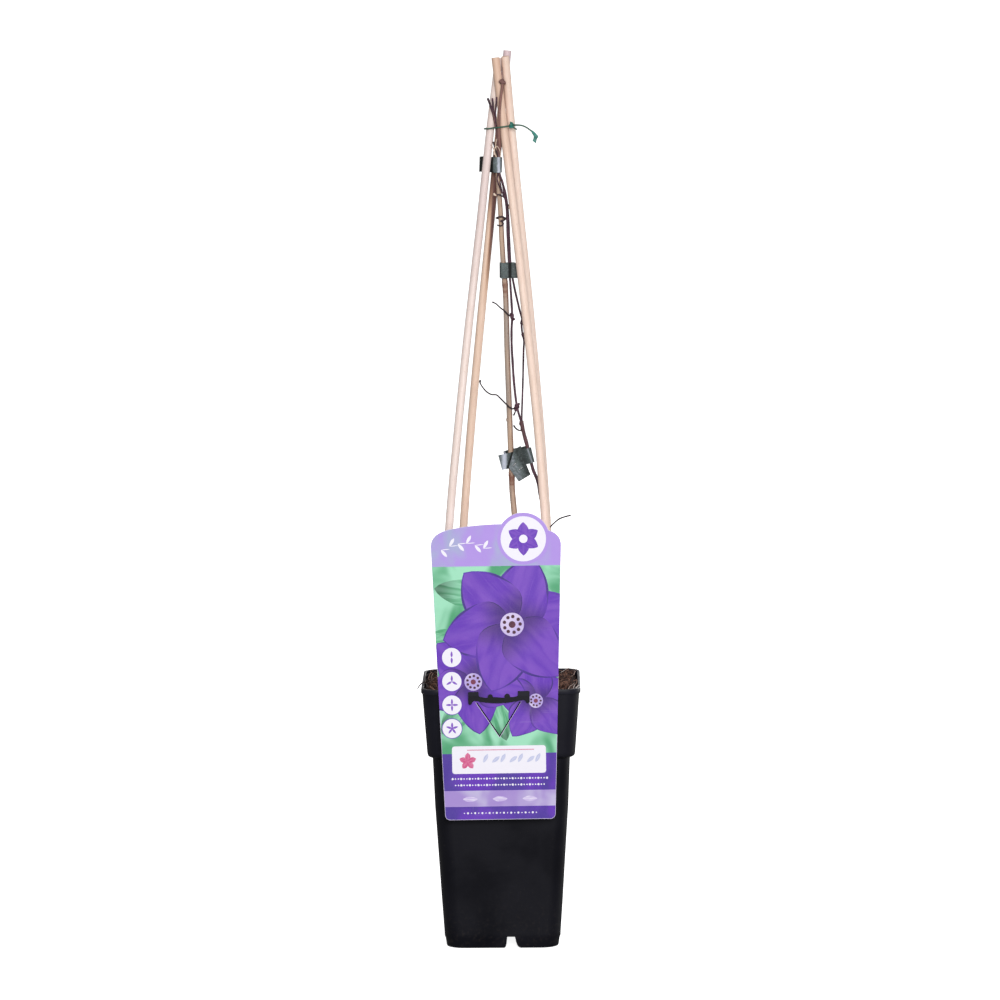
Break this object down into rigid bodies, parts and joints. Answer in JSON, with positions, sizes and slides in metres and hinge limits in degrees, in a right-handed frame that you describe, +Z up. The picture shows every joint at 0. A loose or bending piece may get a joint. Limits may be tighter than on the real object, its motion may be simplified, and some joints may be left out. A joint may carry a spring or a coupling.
{
  "type": "potted dormant clematis",
  "caption": "Young climbing plant, bare in winter, tied to a thin bamboo stake among pale canes in a deep square black nursery pot, with a tapered plastic plant label clipped to the rim",
  "frame": {"origin": "On the ground, on the upright axis of the pot, which is the middle of the whole object's footprint", "axes": "+Z up along the pot, canes and stems; the printed face of the label looks to -Y; +X to the right seen from the front"},
  "size_m": [0.1286, 0.1337, 0.7253],
  "materials": {
    "pot": "black moulded plastic with a soft sheen",
    "soil": null,
    "cane": "smooth pale peeled cane",
    "stake": "weathered thin bamboo with brown nodes",
    "vine": "thin purple-brown bark",
    "tape": "grey-green tying tape with a slight sheen",
    "wire": "green coated wire",
    "label": "printed plastic card, mostly violet",
    "clip": "black moulded plastic"
  },
  "bodies": {
    "root": {"pot": "pot", "soil": "soil", "cane_front_left": "cane", "cane_front_right": "cane", "cane_back_left": "cane", "cane_back_right": "cane", "stake": "stake", "vine": "vine", "tape_tie_top": "tape", "tape_tie_middle": "tape", "tape_tie_bottom": "tape", "twist_tie": "wire", "label": "label", "label_clip": "clip"}
  },
  "joints": []
}
